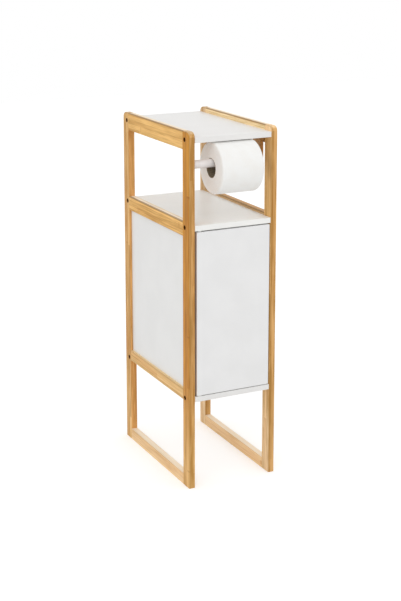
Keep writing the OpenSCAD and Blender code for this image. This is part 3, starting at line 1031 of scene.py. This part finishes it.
@dataclass
class CoilSpring:
    """A compression spring wound from round wire, along Y."""

    name: str
    start: Vector
    length: float
    outer: float
    wire: float = 0.8 * MM
    turns: int = 7
    turn_steps: int = 28
    wire_sides: int = 12

    def make(self) -> Object:
        """Wind a ring of points into the spring.

        Returns:
            The finished mesh object, closed at both ends of its wire.
        """
        deselect_everything()
        half = self.wire / 2
        bpy.ops.mesh.primitive_circle_add(
            vertices=self.wire_sides, radius=half, location=(self.outer - half, half, 0)
        )
        piece = bpy.context.object
        piece.name = piece.data.name = self.name
        bpy.ops.object.transform_apply(location=True)
        winding = piece.modifiers.new("wind", "SCREW")
        winding.axis = "Y"
        winding.screw_offset = (self.length - self.wire) / self.turns
        winding.iterations = self.turns
        winding.steps = winding.render_steps = self.turn_steps
        bpy.ops.object.modifier_apply(modifier=winding.name)
        with editing(piece):
            bpy.ops.mesh.select_mode(type="VERT")
            bpy.ops.mesh.select_non_manifold()
            bpy.ops.mesh.fill_holes(sides=self.wire_sides)
            face_outwards()
            bpy.ops.transform.translate(value=self.start)
        shade_round(piece, 50)
        return piece


# The cabinet's sub-assemblies


def finish_node(name: str, finish: Finish, edge: EasedEdge | None = None) -> None:
    """Dress a node that keeps its packed form.

    Args:
        name: The node.
        finish: Its finish.
        edge: How its edges are rounded, if they are.
    """
    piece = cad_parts[name]
    finish.dress(piece)
    if edge:
        edge.ease(piece)
    log.info("%s: %s", name, finish.name)


def stand_for(piece: Object, node: str, body: str) -> None:
    """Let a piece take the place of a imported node.

    Args:
        piece: The finished piece.
        node: The node that it stands for.
        body: The body that it moves with.
    """
    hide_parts(node)
    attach(piece, body)
    log.info("%s stands for %s", piece.name, node)


# Tones per side and member. Beside the bamboo's own change from member to member they hold painted light: the
# paler low tones near the floor, the PEACH legs and the lift of the right posts, whose inner faces get less
# light, the STRAW rim_highlight, and the CARAMEL painted shade on the right top rail's -X face below the board.
WOOD: dict[Side, dict[Member, WoodTones]] = {
    Side.LEFT: {
        Member.FRONT_POST: WoodTones(Tone.AMBER, Tone.TOFFEE, Tone.OAT, Tone.HONEY, Tone.HONEY),
        Member.REAR_POST: WoodTones(Tone.HONEY, Tone.RUSSET, Tone.OAT, Tone.WHEAT, Tone.RUSSET),
        Member.TOP_RAIL: WoodTones(Tone.GOLD),
        Member.SHELF_RAIL: WoodTones(Tone.GOLD),
        Member.BASE_RAIL: WoodTones(Tone.WHEAT, upper=Tone.SAND),
        Member.FOOT_RAIL: WoodTones(Tone.STRAW),
    },
    Side.RIGHT: {
        Member.FRONT_POST: WoodTones(
            Tone.HONEY, Tone.TOFFEE, Tone.STRAW, Tone.PEACH, Tone.TOFFEE, lift=0.1, rim_highlight=Tone.STRAW
        ),
        Member.REAR_POST: WoodTones(Tone.OAT, Tone.CARAMEL, Tone.OAT, Tone.PEACH, Tone.TOFFEE, lift=0.05),
        Member.TOP_RAIL: WoodTones(
            Tone.SAND, low_wide=Tone.CARAMEL, fade_from=0.78, fade_to=0.775, low_shade_on_left=True
        ),
        Member.SHELF_RAIL: WoodTones(Tone.OAT, upper=Tone.TOFFEE),
        Member.BASE_RAIL: WoodTones(Tone.HONEY, upper=Tone.SAND),
        Member.FOOT_RAIL: WoodTones(Tone.STRAW),
    },
}
SCREW_DEPTHS: dict[Member, float] = {Member.FRONT_POST: -0.13275, Member.REAR_POST: 0.17525}
BOARD_WHITE = WhiteLacquer("board_white", srgb(240, 239, 237))
# The shelf board is the same white board, made paler as painted light against the shade under the top board.
LIT_SHELF_WHITE = WhiteLacquer("lit_shelf_white", srgb(250, 250, 247))
DOOR_WHITE = WhiteLacquer("door_white", srgb(242, 242, 242))
PANEL_WHITE = WhiteLacquer("panel_white", srgb(241, 241, 240), roughness=0.5)
ZINC = PlatedSteel("zinc", srgb(206, 208, 210))
MAGNET_STEEL = PlatedSteel("magnet_steel", srgb(96, 94, 92), roughness=0.42)
BRONZED_STEEL = PlatedSteel("bronzed_steel", srgb(74, 42, 8), roughness=0.8, metallic=0.0, specular=0.02)
NYLON = Moulded("nylon", srgb(236, 235, 230))
GREY_PLASTIC = Moulded("grey_plastic", srgb(205, 205, 203))
ARM_PAINT = Moulded("arm_paint", srgb(246, 241, 239), roughness=0.36, grain_pitch=0.9 * MM)
BEECH = Beech("beech", srgb(206, 170, 124))


@dataclass
class SideFrame:
    """One of the two bamboo frames, with its white panel, its dowels and its screws."""

    side: Side
    wood_edge: EasedEdge = EasedEdge(0.5 * MM)
    panel_edge: EasedEdge = EasedEdge(0.3 * MM, segments=1)
    screw_edge: EasedEdge = EasedEdge(0.2 * MM)

    def build(self) -> None:
        """Dress every piece of the frame."""
        front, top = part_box(self.node("front_post"))
        _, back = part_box(self.node("rear_post"))
        outline = FrameOutline(front.y, back.y, top.z)
        for member in Member:
            name = self.node(member.value)
            low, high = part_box(name)
            wood = Bamboo(
                name + "_bamboo",
                grain=member.grain,
                tones=WOOD[self.side][member],
                outline=outline,
                sides=(low.x, high.x),
                top=high.z,
                edge_shade=member.edge_shade,
                figure=member.figure,
                screw_depth=SCREW_DEPTHS.get(member),
            )
            finish_node(name, wood, self.wood_edge)
        finish_node(self.node("side_panel"), PANEL_WHITE, self.panel_edge)
        finish_node(self.node("frame_dowels"), BEECH)
        finish_node(self.node("frame_screws"), BRONZED_STEEL, self.screw_edge)

    def node(self, piece: str) -> str:
        """Name the node of one piece on this side."""
        return f"{self.side.value}_{piece}"


@dataclass
class Carcass:
    """The three boards between the frames, and the nailed back panel."""

    board_edge: EasedEdge = EasedEdge(0.6 * MM, segments=3)
    panel_edge: EasedEdge = EasedEdge(0.3 * MM, segments=1)

    def build(self) -> None:
        """Dress the boards, the back panel and its nails."""
        finish_node("top_board", BOARD_WHITE, self.board_edge)
        finish_node("shelf_board", LIT_SHELF_WHITE, self.board_edge)
        finish_node("bottom_board", BOARD_WHITE, self.board_edge)
        finish_node("back_panel", PANEL_WHITE, self.panel_edge)
        finish_node("back_panel_nails", ZINC)


@dataclass
class Door:
    """The door, its pivots and the plate that the latch holds."""

    leaf_edge: EasedEdge = EasedEdge(0.8 * MM, segments=3)
    plate_edge: EasedEdge = EasedEdge(0.2 * MM, segments=1)

    def build(self) -> None:
        """Dress the leaf and its fittings."""
        finish_node("door_panel", DOOR_WHITE, self.leaf_edge)
        for place in ("upper", "lower"):
            finish_node(f"{place}_pivot_pin", ZINC)
            finish_node(f"{place}_pivot_bush", NYLON)
        finish_node("strike_plate", ZINC, self.plate_edge)
        finish_node("strike_screws", ZINC)


@dataclass
class PushLatch:
    """The latch that holds the door by a magnet and springs it open at a push."""

    housing_edge: EasedEdge = EasedEdge(0.5 * MM)
    stroke: float = 3 * MM

    def build(self) -> None:
        """Dress the housing, the plunger and what is in it."""
        finish_node("latch_housing", GREY_PLASTIC, self.housing_edge)
        finish_node("latch_screws", ZINC)
        finish_node("latch_plunger", NYLON)
        finish_node("latch_magnet", MAGNET_STEEL)
        self.fit_spring()

    def fit_spring(self) -> None:
        """Wind the spring behind the plunger."""
        low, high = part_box("latch_spring")
        middle_x = (low.x + high.x) / 2
        middle_z = (low.z + high.z) / 2
        length = high.y - low.y
        start = Vector((middle_x, low.y, middle_z))
        spring = CoilSpring("coil_spring", start, length, outer=(high.x - low.x) / 2).make()
        stand_for(spring, "latch_spring", "cabinet")
        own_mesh(spring)
        ZINC.dress(spring)


@dataclass
class RollHolder:
    """The white arm in the left front post, and the block under the top board that keeps the roll on it."""

    block_edge: EasedEdge = EasedEdge(0.5 * MM)
    block_edge_shade: float = 0.2
    block_figure: float = 0.8

    def build(self) -> None:
        """Dress the arm and its stud, and the block and its dowels."""
        finish_node("roll_arm", ARM_PAINT)
        finish_node("arm_stud", ZINC)
        low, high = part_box("roll_stop")
        wood = Bamboo(
            "roll_stop_bamboo",
            grain=Grain.UPRIGHT,
            # Its dark caramel tone is painted shade, for the shade that the block stands in under the top
            # board.
            tones=WoodTones(Tone.CARAMEL),
            outline=FrameOutline(low.y, high.y, high.z),
            sides=(low.x, high.x),
            top=high.z,
            edge_shade=self.block_edge_shade,
            figure=self.block_figure,
        )
        finish_node("roll_stop", wood, self.block_edge)
        finish_node("roll_stop_dowels", BEECH)


@dataclass
class ToiletRoll:
    """The roll that hangs on the arm: wound paper on a cardboard core."""

    def build(self) -> None:
        """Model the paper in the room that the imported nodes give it, and dress it and the core."""
        low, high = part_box("roll_paper")
        core_low, core_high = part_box("roll_core")
        centre = Vector((0, (low.y + high.y) / 2, (low.z + high.z) / 2))
        axis_point = ((low.x + high.x) / 2, centre.y, centre.z)
        inner = (core_high.z - core_low.z) / 2
        outer = (high.z - low.z) / 2
        paper = WoundPaper("wound_paper", low.x, high.x - low.x, centre, inner, outer).make()
        stand_for(paper, "roll_paper", "toilet_roll")
        Tissue("tissue", srgb(250, 250, 248), srgb(236, 226, 214), axis_point).dress(paper)
        finish_node("roll_core", Cardboard("core_board", srgb(156, 144, 122), srgb(126, 114, 96), axis_point))


# The studio


@dataclass(frozen=True)
class SoftBox:
    """A large soft lamp that looks at the middle of the cabinet."""

    name: str
    place: Point
    size: float
    power: float

    def hang(self, target: Vector) -> None:
        """Add the lamp and turn it to the target.

        Args:
            target: The point that it looks at.
        """
        lamp = bpy.data.lights.new(self.name, "AREA")
        lamp.shape = "SQUARE"
        lamp.size = self.size
        lamp.energy = self.power
        holder = bpy.data.objects.new(self.name, lamp)
        holder.location = self.place
        holder.rotation_euler = (target - Vector(self.place)).to_track_quat("-Z", "Y").to_euler()
        bpy.context.scene.collection.objects.link(holder)


@dataclass
class Studio:
    """A plain pale floor, soft light from all round, and the camera of the photograph."""

    camera_place: Point = (-1.28393, -2.57846, 1.23524)
    camera_turn: float = math.radians(26.41)
    camera_dip: float = math.radians(11.27)
    camera_lens: float = 77.9
    camera_shift: float = -0.20
    sensor: float = 36.0
    room_light: float = 0.88
    floor_reach: float = 12.0
    floor_glow: float = 0.4
    target: Point = (0, 0.02, 0.4)
    lamps: tuple[SoftBox, ...] = (
        SoftBox("key_lamp", (-2.6, -2.4, 2.6), 2.4, 17.0),
        SoftBox("fill_lamp", (2.2, -2.8, 1.8), 2.4, 7.0),
    )

    def build(self) -> None:
        """Lay the floor, light the room and set up the camera."""
        self.lay_floor()
        self.light_room()
        for lamp in self.lamps:
            lamp.hang(Vector(self.target))
        self.set_camera()
        bpy.context.scene.view_settings.view_transform = "Standard"
        log.info("studio ready")

    def lay_floor(self) -> None:
        """Lay a pale floor that looks white but keeps a faint shadow."""
        deselect_everything()
        bpy.ops.mesh.primitive_plane_add(size=self.floor_reach)
        floor = bpy.context.object
        floor.name = "studio_floor"
        with editing(floor):
            pick_all()
            bpy.ops.mesh.subdivide(number_cuts=3)
        paint = bpy.data.materials.new("floor_paint")
        look = ShaderTree(paint)
        cloud = look.noise(look.place(), 3, 2)
        look.feed_shader({
            "Base Color": look.blend(cloud, srgb(224, 224, 223), srgb(228, 228, 228)),
            "Roughness": 0.9,
            "Emission Color": (1.0, 1.0, 1.0),
            "Emission Strength": look.times(look.seen_directly(), self.floor_glow),
        })
        floor.data.materials.append(paint)

    def light_room(self) -> None:
        """Give the room an even soft light, and a white look where it is seen."""
        world = bpy.data.worlds.new("studio_room")
        bpy.context.scene.world = world
        look = ShaderTree(world, Shading.ROOM)
        strength = look.ease(look.seen_directly(), 0, 1, self.room_light, 1)
        look.feed_shader({"Color": (1.0, 1.0, 1.0), "Strength": strength})

    def set_camera(self) -> None:
        """Put the camera where the photograph was taken from."""
        lens = bpy.data.cameras.new("photo_camera")
        lens.sensor_width = self.sensor
        lens.lens = self.camera_lens
        lens.shift_y = self.camera_shift
        holder = bpy.data.objects.new("photo_camera", lens)
        holder.location = self.camera_place
        holder.rotation_euler = (math.pi / 2 - self.camera_dip, 0, -self.camera_turn)
        bpy.context.scene.collection.objects.link(holder)
        bpy.context.scene.camera = holder


def main() -> None:
    """Dress the cabinet piece by piece, and set it in the studio."""
    logging.basicConfig(level=logging.INFO, format="%(name)s: %(message)s")
    for side in Side:
        SideFrame(side).build()
    Carcass().build()
    Door().build()
    PushLatch().build()
    RollHolder().build()
    ToiletRoll().build()
    Studio().build()


if __name__ == "__main__":
    main()
